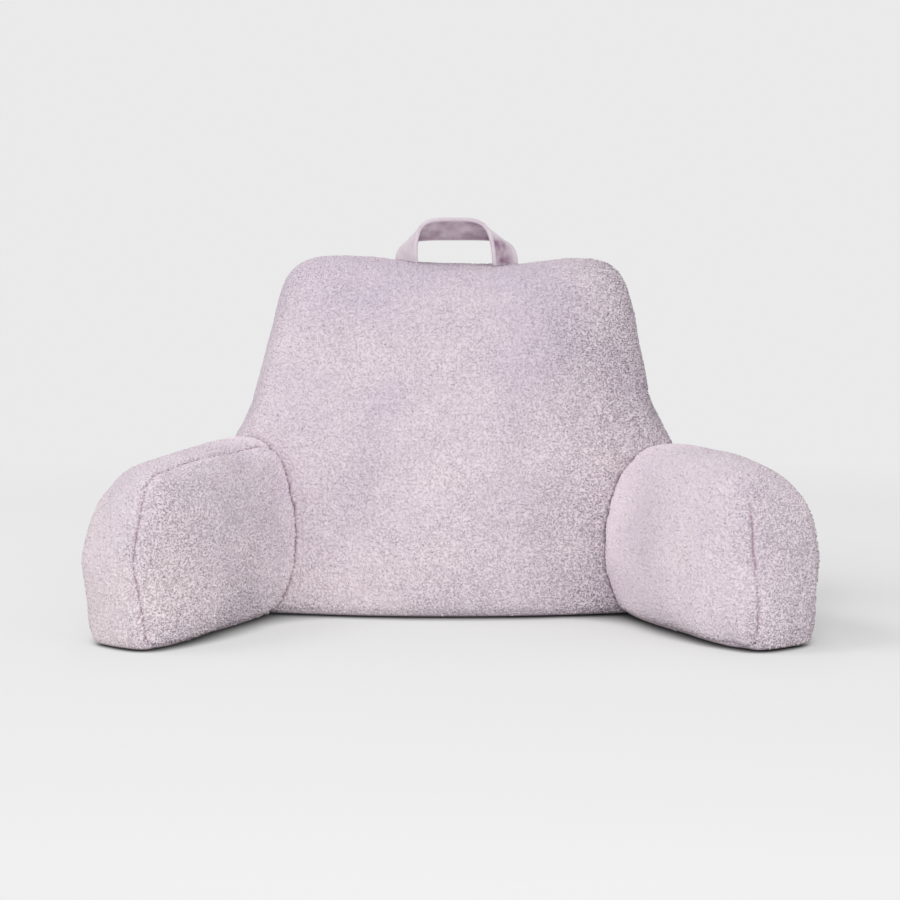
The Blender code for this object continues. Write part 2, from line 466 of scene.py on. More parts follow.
def carve(item, tree, shows, width):
    """Draws the cloth in along its seams and marks them; the nearest points move onto the seam."""
    mesh = item.data
    points = points_of(mesh)
    normal = normals_of(mesh)
    found = [tree.find(p) for p in points]
    step = np.array([spot for spot, _, _ in found]) - points
    step -= normal * np.einsum("ij,ij->i", step, normal)[:, None]
    near = np.linalg.norm(step, axis=1)
    far = np.array([distance for _, _, distance in found]) > SEAM_REACH
    near[far] = SEAM_REACH
    on_seam = near < SEAM_SNAP * (shows > 0.5)
    points[on_seam] += step[on_seam]
    near[on_seam] = 0
    groove = SEAM_DEPTH * np.exp(-((near / SEAM_WIDTH) ** 2))
    groove *= (1 + 0.3 * smooth_noise(points, 0.013, 5)) * (0.35 + 0.65 * shows)
    points -= normal * groove[:, None]
    points[:, 2] = np.maximum(points[:, 2], 0.0005)
    set_points(mesh, points)
    line = np.clip(1 - near / width, 0, 1) * shows
    store(mesh, "seam", line)
    return line


def tree_of(item):
    return BVHTree.FromPolygons(
        [tuple(p) for p in points_of(item.data)], [tuple(f.vertices) for f in item.data.polygons]
    )


def trim(item, other, gap):
    """Cuts the space of the other piece, and a gap, out of this one."""
    grown = add_object("grown", other.data.copy())
    set_points(grown.data, points_of(grown.data) + normals_of(grown.data) * gap)
    cutting = item.modifiers.new("trim", "BOOLEAN")
    cutting.operation = "DIFFERENCE"
    cutting.solver = "EXACT"
    cutting.object = grown
    settle(item)
    mesh = grown.data
    bpy.data.objects.remove(grown)
    bpy.data.meshes.remove(mesh)


def stand_clear(item, tree, gap):
    """Moves points that lie within the gap of the other piece, or inside it, out to the gap."""
    points = points_of(item.data)
    for i, point in enumerate(points):
        spot, normal, _, _ = tree.find_nearest(Vector(point), 0.012)
        if spot is None:
            continue
        out = (Vector(point) - spot).dot(normal)
        if out < gap:
            points[i] += np.array(normal) * (gap - out)
    points[:, 2] = np.maximum(points[:, 2], 0.0005)
    set_points(item.data, points)


def clearance(points, tree, reach):
    """Distance to the other piece, no more than reach."""
    found = (tree.find_nearest(Vector(p), reach)[3] for p in points)
    return np.array([reach if d is None else d for d in found])


# ---------------------------------------------------------------- pile

CURL_SPACING = 0.0034
CURL_LENGTH = 0.0066
CURL_WIDTH = 0.0050
CURL_HEIGHT = 0.0010
CURL_SINK = 0.0008  # how deep its sides reach into the cloth


def curl_mesh():
    """One curl of the pile: a short bent lock, low at both tips."""
    third = CURL_LENGTH / 6
    bend = CURL_WIDTH * 0.35
    points = [(-CURL_LENGTH / 2, -bend, -CURL_SINK / 2)]
    for along in (-third, third):
        points.append((along, CURL_WIDTH / 2, -CURL_SINK))
        points.append((along, 0, CURL_HEIGHT))
        points.append((along, -CURL_WIDTH / 2, -CURL_SINK))
    points.append((CURL_LENGTH / 2, -bend, -CURL_SINK / 2))
    faces = [(0, 2, 1), (0, 3, 2), (0, 1, 3), (7, 4, 5), (7, 5, 6), (7, 6, 4)]
    for i in range(3):
        j = (i + 1) % 3
        faces.append((1 + i, 1 + j, 4 + j, 4 + i))
    mesh = mesh_from("curl", points, faces)
    face_outward(mesh)
    mesh.polygons.foreach_set("use_smooth", [True] * len(faces))
    return mesh


def pile_tree():
    """Scatters curls over a surface, turned and leaned at random, and makes them one mesh."""
    tree = bpy.data.node_groups.new("fleece pile", "GeometryNodeTree")
    tree.is_modifier = True
    face = tree.interface
    face.new_socket("Cloth", in_out="INPUT", socket_type="NodeSocketGeometry")
    for name, kind in (
        ("Curl", "NodeSocketObject"), ("Spacing", "NodeSocketFloat"), ("Lean", "NodeSocketFloat"),
        ("Smallest", "NodeSocketFloat"), ("Largest", "NodeSocketFloat"), ("Where", "NodeSocketString"),
        ("Seed", "NodeSocketInt"), ("Fleece", "NodeSocketMaterial"),
    ):
        face.new_socket(name, in_out="INPUT", socket_type=kind)
    face.new_socket("Pile", in_out="OUTPUT", socket_type="NodeSocketGeometry")
    node, link = tree.nodes.new, tree.links.new
    given = node("NodeGroupInput").outputs
    where = node("GeometryNodeInputNamedAttribute")
    where.data_type = "FLOAT"
    link(given["Where"], where.inputs["Name"])
    square = node("ShaderNodeMath")
    square.operation = "MULTIPLY"
    link(given["Spacing"], square.inputs[0])
    link(given["Spacing"], square.inputs[1])
    most = node("ShaderNodeMath")
    most.operation = "DIVIDE"
    most.inputs[0].default_value = 3.0
    link(square.outputs[0], most.inputs[1])
    spots = node("GeometryNodeDistributePointsOnFaces")
    spots.distribute_method = "POISSON"
    link(given["Cloth"], spots.inputs["Mesh"])
    link(given["Spacing"], spots.inputs["Distance Min"])
    link(most.outputs[0], spots.inputs["Density Max"])
    link(where.outputs["Attribute"], spots.inputs["Density Factor"])
    link(given["Seed"], spots.inputs["Seed"])
    back = node("ShaderNodeMath")
    back.operation = "MULTIPLY"
    back.inputs[1].default_value = -1
    link(given["Lean"], back.inputs[0])
    low, high = node("ShaderNodeCombineXYZ"), node("ShaderNodeCombineXYZ")
    for axis in ("X", "Y"):
        link(back.outputs[0], low.inputs[axis])
        link(given["Lean"], high.inputs[axis])
    low.inputs["Z"].default_value = -math.pi
    high.inputs["Z"].default_value = math.pi
    turn = node("FunctionNodeRandomValue")
    turn.data_type = "FLOAT_VECTOR"
    link(low.outputs[0], turn.inputs[0])
    link(high.outputs[0], turn.inputs[1])
    link(given["Seed"], turn.inputs["Seed"])
    turned = node("FunctionNodeRotateRotation")
    turned.rotation_space = "LOCAL"
    link(spots.outputs["Rotation"], turned.inputs[0])
    link(turn.outputs[0], turned.inputs[1])
    size = node("FunctionNodeRandomValue")
    size.data_type = "FLOAT"
    link(given["Smallest"], size.inputs[2])
    link(given["Largest"], size.inputs[3])
    link(given["Seed"], size.inputs["Seed"])
    loose = node("GeometryNodeInputNamedAttribute")
    loose.data_type = "FLOAT"
    loose.inputs["Name"].default_value = "open"
    stand = node("ShaderNodeMapRange")
    link(loose.outputs["Attribute"], stand.inputs["Value"])
    stand.inputs["To Min"].default_value = 0.5
    stand.inputs["To Max"].default_value = 1.7
    high_as = node("ShaderNodeMath")
    high_as.operation = "MULTIPLY"
    link(size.outputs[1], high_as.inputs[0])
    link(stand.outputs[0], high_as.inputs[1])
    form = node("ShaderNodeCombineXYZ")
    link(size.outputs[1], form.inputs["X"])
    link(size.outputs[1], form.inputs["Y"])
    link(high_as.outputs[0], form.inputs["Z"])
    curl = node("GeometryNodeObjectInfo")
    link(given["Curl"], curl.inputs["Object"])
    place = node("GeometryNodeInstanceOnPoints")
    link(spots.outputs["Points"], place.inputs["Points"])
    link(curl.outputs["Geometry"], place.inputs["Instance"])
    link(turned.outputs[0], place.inputs["Rotation"])
    link(form.outputs[0], place.inputs["Scale"])
    shade = node("FunctionNodeRandomValue")
    shade.data_type = "FLOAT"
    shade.inputs["Seed"].default_value = 7
    mark = node("GeometryNodeStoreNamedAttribute")
    mark.data_type = "FLOAT"
    mark.domain = "INSTANCE"
    mark.inputs["Name"].default_value = "shade"
    link(place.outputs[0], mark.inputs["Geometry"])
    link(shade.outputs[1], mark.inputs["Value"])
    real = node("GeometryNodeRealizeInstances")
    link(mark.outputs[0], real.inputs[0])
    dress = node("GeometryNodeSetMaterial")
    link(real.outputs[0], dress.inputs["Geometry"])
    link(given["Fleece"], dress.inputs["Material"])
    link(dress.outputs[0], node("NodeGroupOutput").inputs[0])
    return tree


def pile(name, cloth, tree, values):
    """The curls of one stretch of cloth, as a plain mesh of its own."""
    item = add_object(name, cloth.data.copy())
    grow = item.modifiers.new("pile", "NODES")
    grow.node_group = tree
    for socket in tree.interface.items_tree:
        if socket.name in values:
            grow[socket.identifier] = values[socket.name]
    settle(item)
    points = points_of(item.data)
    points[:, 2] = np.maximum(points[:, 2], 0.0003)
    set_points(item.data, points)
    return item


# ---------------------------------------------------------------- finishes

# Linear colours
PILE_PINK = (0.718, 0.638, 0.668)
PILE_LILAC = (0.586, 0.513, 0.588)
ROOT_SHADE_CLOSED = (0.76, 0.69, 0.74)  # share of the colour left at the foot of the pile where it lies closed: painted shade in the crevices
# the same where the pile stands open: deep painted shade in the crevices
ROOT_SHADE_OPEN = (0.14, 0.05, 0.11)
CREVICE_SCALE = 440
CREVICE_SQUASH = 1.45  # the locks lie in rows, this much wider than high
CREVICE_BEND = 0.004
CREVICE_SLOPE = 0.13
CREVICE_DEPTH = 0.00024
CREVICE_CLOSED = (0.42, 0.60)  # noise from and past which a crevice is closed
OPEN_RELIEF = (0.5, 2.0)  # share of that depth where the pile is closed, and where it stands open
OPEN_POWER = 1.6
CURL_SHADES = (0.96, 1.03)  # the darkest and the palest curl
PATCH_SCALE = 9
PATCH_SPAN = (0.25, 0.75)
LILAC_RISE = (0.0, 0.36, -0.28, 0.28)  # height from, height to, share of lilac from, to
PAINTED_LIGHT_LIFT = 1.22  # how much paler the pile is painted where it lies smoother beside the back: painted light
PILE_ROUGHNESS = 0.9
PILE_SHEEN = (0.04, 0.5)  # weight, roughness
SEAM_SHADE = (0.32, 0.22, 0.28)
# painted shade where a cushion meets the next and along its foot on the floor
PAINTED_CREASE_SHADE = (0.30, 0.20, 0.26)
VELOUR_LIGHT = (0.66, 0.585, 0.635)
# the strap's darker colour, for its painted shade and for its darker patches at random
VELOUR_DARK = (0.24, 0.12, 0.20)
VELOUR_PATCH = (0.34, 0.62, 0.1, 1.0)  # noise from, noise to, share of the painted shade from, to
VELOUR_FAINT = (0.4, 0.7, 0.0, 0.18)  # noise from, noise to, share of the darker colour from, to, in patches at random on the rest of the strap
VELOUR_NAP = 0.0008


class Finish:
    """A material under construction: nodes are added by kind and linked by name."""

    def __init__(self, name):
        self.slot = bpy.data.materials.new(name)
        self.slot.use_nodes = True
        self.tree = self.slot.node_tree
        self.shader = self.tree.nodes["Principled BSDF"]
        self.place = self.node("ShaderNodeTexCoord").outputs["Object"]

    def node(self, kind, **settings):
        made = self.tree.nodes.new(kind)
        for key, value in settings.items():
            setattr(made, key, value)
        return made

    def link(self, source, target):
        self.tree.links.new(source, target)

    def noise(self, scale, detail=2, roughness=0.5):
        made = self.node("ShaderNodeTexNoise")
        made.inputs["Scale"].default_value = scale
        made.inputs["Detail"].default_value = detail
        made.inputs["Roughness"].default_value = roughness
        self.link(self.place, made.inputs["Vector"])
        return made.outputs["Fac"]

    def attribute(self, name):
        return self.node("ShaderNodeAttribute", attribute_name=name).outputs["Fac"]

    def span(self, value, low, high, to_low=0.0, to_high=1.0):
        made = self.node("ShaderNodeMapRange")
        self.link(value, made.inputs["Value"])
        ends = {"From Min": low, "From Max": high, "To Min": to_low, "To Max": to_high}
        for key, number in ends.items():
            made.inputs[key].default_value = number
        return made.outputs[0]

    def mix(self, share, first, second, blend="MIX"):
        made = self.node("ShaderNodeMix", data_type="RGBA", blend_type=blend)
        for number, value in ((0, share), (6, first), (7, second)):
            socket = made.inputs[number]
            if isinstance(value, bpy.types.NodeSocket):
                self.link(value, socket)
            elif isinstance(value, tuple):
                socket.default_value = (*value, 1)
            else:
                socket.default_value = value
        return made.outputs[2]

    def times(self, first, second):
        made = self.node("ShaderNodeMath", operation="MULTIPLY")
        self.link(first, made.inputs[0])
        self.link(second, made.inputs[1])
        return made.outputs[0]

    def bump(self, height, distance, strength=1.0):
        made = self.node("ShaderNodeBump")
        made.inputs["Strength"].default_value = strength
        made.inputs["Distance"].default_value = distance
        self.link(height, made.inputs["Height"])
        self.link(made.outputs[0], self.shader.inputs["Normal"])

    def soft(self, colour, roughness, sheen, sheen_roughness):
        self.link(colour, self.shader.inputs["Base Color"])
        self.shader.inputs["Roughness"].default_value = roughness
        self.shader.inputs["Specular IOR Level"].default_value = 0.2
        self.shader.inputs["Sheen Weight"].default_value = sheen
        self.shader.inputs["Sheen Roughness"].default_value = sheen_roughness
        return self.slot


def mottled(finish):
    """The fleece's colour: pink low down, a darker lilac high up, in soft patches, with painted light
    that makes it paler beside the back.
    """
    up = finish.node("ShaderNodeSeparateXYZ")
    finish.link(finish.place, up.inputs[0])
    rise = finish.span(up.outputs["Z"], *LILAC_RISE)
    patch = finish.span(finish.noise(PATCH_SCALE, 3), *PATCH_SPAN)
    share = finish.node("ShaderNodeMath", operation="ADD", use_clamp=True)
    finish.link(rise, share.inputs[0])
    finish.link(patch, share.inputs[1])
    colour = finish.mix(share.outputs[0], PILE_PINK, PILE_LILAC)
    # painted light: paler beside the back
    painted_light = finish.span(finish.attribute("smooth_and_painted_light_beside_back"), 0, 1, 1.0, PAINTED_LIGHT_LIFT)
    return finish.mix(1.0, colour, painted_light, "MULTIPLY")


def creviced(finish):
    """Height of the fine pile, 1 on a lock and 0 in the short crevices between locks."""
    bend = finish.node("ShaderNodeTexNoise")
    bend.inputs["Scale"].default_value = CREVICE_SCALE * 0.8
    bend.inputs["Detail"].default_value = 0
    finish.link(finish.place, bend.inputs["Vector"])
    push = finish.node("ShaderNodeVectorMath", operation="MULTIPLY_ADD")
    finish.link(bend.outputs["Color"], push.inputs[0])
    push.inputs[1].default_value = (CREVICE_BEND,) * 3
    rows = finish.node("ShaderNodeVectorMath", operation="MULTIPLY")
    finish.link(finish.place, rows.inputs[0])
    rows.inputs[1].default_value = (1, 1, CREVICE_SQUASH)
    finish.link(rows.outputs[0], push.inputs[2])
    cells = finish.node("ShaderNodeTexVoronoi", feature="DISTANCE_TO_EDGE")
    cells.inputs["Scale"].default_value = CREVICE_SCALE
    finish.link(push.outputs[0], cells.inputs["Vector"])
    top = finish.span(cells.outputs["Distance"], 0.0, CREVICE_SLOPE)
    closed = finish.span(finish.noise(CREVICE_SCALE * 1.1, 0), *CREVICE_CLOSED)
    both = finish.node("ShaderNodeMath", operation="MAXIMUM")
    finish.link(top, both.inputs[0])
    finish.link(closed, both.inputs[1])
    return both.outputs[0]


def root_shaded(finish, colour, rise):
    """Paints shade into a colour towards the foot of the pile, in its crevices, deeper where the pile
    stands open.
    """
    wide = finish.node("ShaderNodeMath", operation="POWER")
    finish.link(finish.attribute("open"), wide.inputs[0])
    wide.inputs[1].default_value = OPEN_POWER
    root = finish.mix(wide.outputs[0], ROOT_SHADE_CLOSED, ROOT_SHADE_OPEN)
    return finish.mix(rise, finish.mix(1.0, colour, root, "MULTIPLY"), colour)


def fleece_relief(finish, height):
    """Raises the locks in the shading, more where the pile stands open."""
    deep = finish.span(finish.attribute("open"), 0, 1, *OPEN_RELIEF)
    finish.bump(finish.times(height, deep), CREVICE_DEPTH)


def pile_finish():
    finish = Finish("fleece_curls")
    colour = mottled(finish)
    shade = finish.span(finish.attribute("shade"), 0, 1, *CURL_SHADES)
    colour = finish.mix(1.0, colour, shade, "MULTIPLY")
    height = creviced(finish)
    # painted shade in the crevices of the pile
    colour = root_shaded(finish, colour, height)
    fleece_relief(finish, height)
    return finish.soft(colour, PILE_ROUGHNESS, *PILE_SHEEN)


def skin_finish():
    finish = Finish("fleece_ground")
    colour = mottled(finish)
    height = creviced(finish)
    # painted shade in the crevices of the pile
    colour = root_shaded(finish, colour, height)
    colour = finish.mix(finish.attribute("seam"), colour, SEAM_SHADE)
    # painted shade where the cushions meet and along the foot
    colour = finish.mix(finish.attribute("painted_crease_shade"), colour, PAINTED_CREASE_SHADE)
    fleece_relief(finish, height)
    return finish.soft(colour, PILE_ROUGHNESS, *PILE_SHEEN)


def velour_finish():
    finish = Finish("strap_velour")
    patch = finish.span(finish.noise(50, 3), *VELOUR_PATCH)
    # painted shade under the strap's top and on its foot at +X, in patches
    dark = finish.times(finish.attribute("strap_painted_shade"), patch)
    faint = finish.span(finish.noise(90, 2), *VELOUR_FAINT)
    share = finish.node("ShaderNodeMath", operation="MAXIMUM")
    finish.link(dark, share.inputs[0])
    finish.link(faint, share.inputs[1])
    colour = finish.mix(share.outputs[0], VELOUR_LIGHT, VELOUR_DARK)
    finish.bump(finish.noise(900, 3), VELOUR_NAP)
    return finish.soft(colour, 0.8, 0.35, 0.4)


# ---------------------------------------------------------------- pieces

BACK_VOXEL = 0.0056
ARM_VOXEL = 0.0048
CUSHION_GAP = 0.0008
UNEVEN = 0.0026
UNEVEN_SIZE = 0.045
FOLDS = (
    # from and to (across, deep, up), depth, width
    ((0.150, 0.035, 0.236), (0.218, 0.060, 0.205), 0.0040, 0.010),
    ((-0.190, 0.035, 0.190), (-0.150, 0.010, 0.200), 0.0030, 0.008),
)
CREASE_CLEAR = 0.0026  # curls stand no nearer than this to the next cushion
FOOT_SHADE = 0.0035  # the cloth is painted with shade up to this height above the floor
CREASE_SHADE = 0.0036  # the cloth is painted with shade this far into the join with the next cushion
SHADE_EDGE = 0.001
FOOT_BARE = 0.004  # no curls stand below this height
FOOT_FULL = 0.002  # and they stand in full this much higher
SEAM_PARTS = (0.3, 0.5)  # from this share of a seam on, over this span, the curls thin out
STRIP_TURN = 0.66  # the strip's curls grow where the cloth turns this little to the front or rear
PANEL_TURN = 0.55  # and a panel's where it turns at least this much
OPEN_AND_ROOT_SHADE = 0.34  # how far the pile stands open, from 0 to 1, which raises its curls and deepens the painted shade at their roots: on a level, at +X, the side turned from the light, and at the top
OPEN_AND_ROOT_SHADE_SIDE = 0.45
OPEN_AND_ROOT_SHADE_TOP = -0.15
OPEN_AND_ROOT_SHADE_FOOT = (0.12, 0.15)  # the share added near the floor, where it deepens the painted shade, and the height at which that ends
STIRRED_PATCH = (0.12, 0.06)  # the share, and the size, of its uneven patches
# how much less the pile stands open beside the back: lower curls and less painted shade at their roots
SMOOTHED_AND_LESS_ROOT_SHADE = 0.4
SMOOTH_AND_PAINTED_LIGHT_REACH = 0.09  # the pile of an arm lies smoother, and is painted lighter, this far from the back


def unsettle(item):
    """Makes the filling uneven and presses the folds in."""
    points = points_of(item.data)
    normal = normals_of(item.data)
    move = UNEVEN * smooth_noise(points, UNEVEN_SIZE, 2)
    for first, last, depth, width in FOLDS:
        first, last = np.array(first), np.array(last)
        along = np.clip((points - first) @ (last - first) / ((last - first) @ (last - first)), 0, 1)
        away = np.linalg.norm(points - first - along[:, None] * (last - first), axis=1)
        move -= depth * np.exp(-((away / width) ** 2)) * (normal[:, 1] < 0)
    points += normal * (move * np.clip(points[:, 2] / 0.02, 0, 1))[:, None]
    points[:, 2] = np.maximum(points[:, 2], 0.0005)
    set_points(item.data, points)


def cushion(item, seams, voxel):
    inset(item, PILE_INSET)
    remesh(item, voxel)
    unsettle(item)
    stuff(item, seam_finder(seams))


def finish_cushion(item, seams, others, slot, look, open_and_root_shade_of, smooth_and_painted_light_beside_back):
    """Subdivides, sews and marks a cushion that has its final form.

    look is a row of SEAM_LOOK; the last argument is 1 where the pile lies smoother beside the other
    pieces and is painted lighter there, or 0.
    """
    subdivide(item)
    faint_from, width = look
    rise = np.clip((points_of(item.data)[:, 2] - faint_from) / 0.03, 0, 1)
    line = carve(item, seam_finder(seams), 1 - (1 - SEAM_FAINT) * rise, width)
    for other in others:
        stand_clear(item, other, CUSHION_GAP)
    mesh = item.data
    points = points_of(mesh)
    normal = normals_of(mesh)
    grows = np.clip((points[:, 2] - FOOT_BARE) / FOOT_FULL, 0, 1)
    grows *= 1 - 0.9 * np.clip((line - SEAM_PARTS[0]) / SEAM_PARTS[1], 0, 1)
    # painted shade where a cushion meets the next, and along its foot on the floor
    painted_crease_shade = np.zeros(len(points))
    smooth_and_painted_light = np.zeros(len(points))
    for other in others:
        near = clearance(points, other, SMOOTH_AND_PAINTED_LIGHT_REACH)
        smooth_and_painted_light = np.maximum(smooth_and_painted_light, 1 - near / SMOOTH_AND_PAINTED_LIGHT_REACH)
        grows *= near > CREASE_CLEAR
        painted_crease_shade = np.maximum(painted_crease_shade, np.clip((CREASE_SHADE - near) / SHADE_EDGE, 0, 1))
    painted_crease_shade = np.maximum(painted_crease_shade, np.clip((FOOT_SHADE - points[:, 2]) / 0.002, 0, 1))
    store(mesh, "painted_crease_shade", painted_crease_shade)
    # beside the back an arm's pile lies smoother and is painted lighter: painted light
    smooth_and_painted_light *= smooth_and_painted_light_beside_back
    # how far the pile stands open: taller curls and deeper painted shade at their roots, most on faces
    # turned to +X, away from the light, and near the floor, less on top and beside the back
    open_and_root_shade = OPEN_AND_ROOT_SHADE + OPEN_AND_ROOT_SHADE_SIDE * normal[:, 0] + OPEN_AND_ROOT_SHADE_TOP * normal[:, 2]
    open_and_root_shade += STIRRED_PATCH[0] * smooth_noise(points, STIRRED_PATCH[1], 9)
    open_and_root_shade += OPEN_AND_ROOT_SHADE_FOOT[0] * np.clip(1 - points[:, 2] / OPEN_AND_ROOT_SHADE_FOOT[1], 0, 1)
    store(mesh, "open", np.clip(open_and_root_shade + open_and_root_shade_of(points, normal) - SMOOTHED_AND_LESS_ROOT_SHADE * smooth_and_painted_light, 0, 1))
    # painted light beside the back
    store(mesh, "smooth_and_painted_light_beside_back", smooth_and_painted_light)
    front = normal[:, 1] < -PANEL_TURN
    rear = normal[:, 1] > PANEL_TURN
    store(mesh, "all", grows)
    store(mesh, "front", grows * front)
    store(mesh, "rear", grows * rear)
    store(mesh, "strip", grows * (np.abs(normal[:, 1]) < STRIP_TURN))
    mesh.polygons.foreach_set("use_smooth", [True] * len(mesh.polygons))
    mesh.materials.clear()
    mesh.materials.append(slot)


# more open pile, with taller curls and deeper painted shade at their roots: on the back towards +X, on
# an arm's front end and near the floor
BACK_OPEN_AND_ROOT_SHADE = 0.5
BACK_OPEN_AND_ROOT_SHADE_SPAN = (0.07, 0.11)  # where across it starts, and over what distance it grows
END_OPEN_AND_ROOT_SHADE = 0.14
LOW_OPEN_AND_ROOT_SHADE = (0.1, 0.08)  # share, height


def back_open_and_root_shade(points, normal):
    """How much more the pile of the back stands open, towards +X: taller curls and deeper painted
    shade at their roots.
    """
    return BACK_OPEN_AND_ROOT_SHADE * np.clip((points[:, 0] - BACK_OPEN_AND_ROOT_SHADE_SPAN[0]) / BACK_OPEN_AND_ROOT_SHADE_SPAN[1], 0, 1)


def arm_open_and_root_shade(points, normal):
    """How much more the pile of an arm stands open, on its front end and near the floor: taller curls
    and deeper painted shade at their roots.
    """
    end = np.clip((-normal[:, 1] - 0.6) / 0.25, 0, 1)
    return END_OPEN_AND_ROOT_SHADE * end + LOW_OPEN_AND_ROOT_SHADE[0] * np.clip(1 - points[:, 2] / LOW_OPEN_AND_ROOT_SHADE[1], 0, 1)


def arch(edge, count):
    half, foot, top, deep, square, shift = edge
    turn = np.linspace(0, math.pi, count)
    across = -np.sign(np.cos(turn)) * np.abs(np.cos(turn)) ** (2 / square) * half
    up = foot + (top - foot) * np.abs(np.sin(turn)) ** (2 / square)
    lean = shift * (up - foot) / (top - foot)
    return np.column_stack([STRAP_MIDDLE + across - lean, np.full(count, deep + DEPTH_SHIFT), up])


STRAP_STATIONS = 120
STRAP_ACROSS = 24
STRAP_THICK = 0.0034
HEM_WIDTH = 0.006
HEM_RISE = 0.0007


def strap_painted_shade(share, edge):
    """Where shade is painted on the strap: under its top, and at its foot at +X, which is turned from
    the light.
    """
    run = np.linspace(0, 1, STRAP_STATIONS)[:, None]
    top = np.clip((run - 0.24) / 0.06, 0, 1) * np.clip((0.76 - run) / 0.06, 0, 1)
    foot = np.clip((run - 0.78) / 0.08, 0, 1) * np.clip((0.85 - share) / 0.3, 0, 1)
    flat = np.clip((edge - HEM_WIDTH * 0.4) / 0.002, 0, 1)
    corner = np.clip(np.abs(run - 0.5) / 0.2, 0, 1)
    under = top * np.maximum(flat * (0.6 + 0.4 * corner), 0.15)
    over = np.maximum(0.2 * top, foot * flat)
    return np.concatenate([over, under[:, ::-1]], axis=1)


def strap(slot):
    """A band bent between its two edges, with a rolled hem along each."""
    front, rear = (arch(edge, STRAP_STATIONS) for edge in STRAP_EDGES)
    share = np.linspace(0, 1, STRAP_ACROSS + 1)
    share = (1 - np.cos(math.pi * share)) / 2
    sheet = front + (rear - front) * share[:, None, None]
    width = np.linalg.norm(rear - front, axis=1).mean()
    length = np.linalg.norm(np.diff(sheet, axis=1), axis=2).sum(axis=1).mean()
    along = np.gradient(sheet, axis=1)
    across = rear - front
    square = np.cross(along, across[None])
    square /= np.linalg.norm(square, axis=2)[..., None]
    edge = np.minimum(share, 1 - share) * width
    hem = HEM_RISE * np.exp(-(((edge - HEM_WIDTH / 2) / (HEM_WIDTH / 2.6)) ** 2))
    round_off = np.sqrt(np.clip(1 - (1 - np.clip(edge / (STRAP_THICK / 2), 0, 1)) ** 2, 0.04, 1))
    half = ((STRAP_THICK / 2 + hem) * round_off)[:, None, None]
    loops = np.concatenate([sheet + square * half, (sheet - square * half)[::-1]])
    count = len(loops)
    points = loops.transpose(1, 0, 2).reshape(-1, 3)
    faces = []
    for station in range(STRAP_STATIONS - 1):
        for i in range(count):
            a = station * count + i
            b = station * count + (i + 1) % count
            faces.append((a, b, b + count, a + count))
    faces.append(tuple(range(count)))
    faces.append(tuple(range(len(points) - 1, len(points) - 1 - count, -1)))
    mesh = mesh_from("carry_strap", points, faces)
    face_outward(mesh)
    # painted shade under the top and on the foot at +X
    store(mesh, "strap_painted_shade", strap_painted_shade(share, edge).ravel())
    mesh.materials.append(slot)
    mesh.polygons.foreach_set("use_smooth", [True] * len(mesh.polygons))
    return add_object("carry_strap", mesh), (width, length)


# ---------------------------------------------------------------- camera, floor and light

CAMERA_PLACE = (0, -2.9815, 0.53)
CAMERA_DIP = math.radians(6.626)
CAMERA_LENS = 109.36
PAPER = 0.823
FLOOR_REACH = 14
WALL_HEIGHT = 2.2
FLOOR_TONE = 0.75
FLOOR_GLOW = (0.04, 0.55)  # share of the floor's own light, in its shadow at +X and elsewhere
SHADOW_MIDDLE = (0.46, 0.10, 0.0)
SHADOW_SPAN = (0.18, 0.50)  # distances from that middle at which the share is the first and the second
FAR_SPAN = (0.6, 1.5)  # distances at which the floor starts to be, and is, plain paper
TOUCH_REACH = 0.065  # how far shade is painted on the floor round what touches it
TOUCH_SHARES = (0.04, 0.56)  # share of open sky at which it is darkest, and not darkened at all
# colour of the painted contact shade
CONTACT_SHADE_TONE = (0.02, 0.02, 0.02)
SKY = 0.73


def camera():
    item = bpy.data.objects.new("camera", bpy.data.cameras.new("camera"))
    bpy.context.scene.collection.objects.link(item)
    item.location = CAMERA_PLACE
    item.rotation_euler = (math.pi / 2 - CAMERA_DIP, 0, 0)
    item.data.lens = CAMERA_LENS
    item.data.sensor_width = 36
    item.data.clip_end = 100
    bpy.context.scene.camera = item


